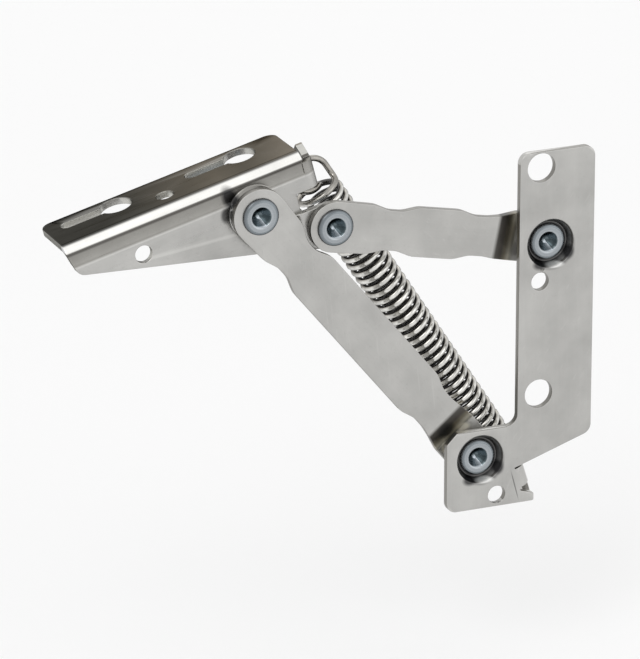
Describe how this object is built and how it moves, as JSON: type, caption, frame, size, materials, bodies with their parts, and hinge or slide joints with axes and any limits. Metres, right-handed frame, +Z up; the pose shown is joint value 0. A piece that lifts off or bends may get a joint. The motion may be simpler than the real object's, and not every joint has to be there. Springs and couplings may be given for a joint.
{
  "type": "flap stay",
  "caption": "Lift-up cabinet flap stay: a pressed wall plate and a keyholed flap bracket joined by two offset arms, held open by a tension spring.",
  "frame": {"origin": "on the wall face of the plate, halfway between the two large screw holes", "axes": "+Y from the wall face into the mechanism, +Z up along the plate's strip, -X towards the flap's free edge; stored with the flap open"},
  "size_m": [0.1485, 0.0258, 0.1062],
  "materials": {
    "nickel_sheet": "satin nickel plate on pressed sheet steel",
    "zinc_rivet": "pale bluish zinc plate",
    "spring_wire": "bright nickel-plated spring wire"
  },
  "bodies": {
    "base": {"wall_plate": "nickel_sheet", "rivet_upper_wall": "zinc_rivet", "rivet_lower_wall": "zinc_rivet"},
    "lower_arm_body": {"lower_arm": "nickel_sheet", "rivet_flap": "zinc_rivet"},
    "upper_arm_body": {"upper_arm": "nickel_sheet", "rivet_link": "zinc_rivet"},
    "flap_body": {"flap_bracket": "nickel_sheet"},
    "spring_body": {"tension_spring": "spring_wire"},
    "spring_end": {"spring_upper_loop": "spring_wire"}
  },
  "joints": [
    {"name": "lower_wall_pivot", "type": "hinge", "parent": "base", "child": "lower_arm_body", "pos_m": [-0.017, 0, -0.0484], "axis": [0, -1, 0], "range_deg": [-5.96, 0]},
    {"name": "flap_pivot", "type": "hinge", "parent": "lower_arm_body", "child": "flap_body", "pos_m": [-0.0797, 0, 0.02821], "axis": [0, -1, 0], "range_deg": [0, 47.39], "stiffness_Nm_per_rad": 0.08, "springref_deg": -80.21},
    {"name": "upper_wall_pivot", "type": "hinge", "parent": "base", "child": "upper_arm_body", "pos_m": [0.003, 0, 0.0104], "axis": [0, -1, 0], "range_deg": [-20.97, 0]},
    {"name": "spring_swing", "type": "hinge", "parent": "base", "child": "spring_body", "pos_m": [-0.0043, 0, -0.0537], "axis": [0, -1, 0], "range_deg": [-4.92, 0]},
    {"name": "spring_stretch", "type": "slide", "parent": "spring_body", "child": "spring_end", "axis": [-0.5426, 0, 0.84], "range_m": [0, 0.0152], "deforming": ["tension_spring"]}
  ],
  "couplings": [
    {"joint": "lower_wall_pivot", "follows": "flap_pivot", "ratio": -0.1257},
    {"joint": "upper_wall_pivot", "follows": "flap_pivot", "ratio": -0.4423},
    {"joint": "spring_swing", "follows": "flap_pivot", "ratio": -0.1038},
    {"joint": "spring_stretch", "follows": "flap_pivot", "m_per_rad": 0.01837}
  ]
}
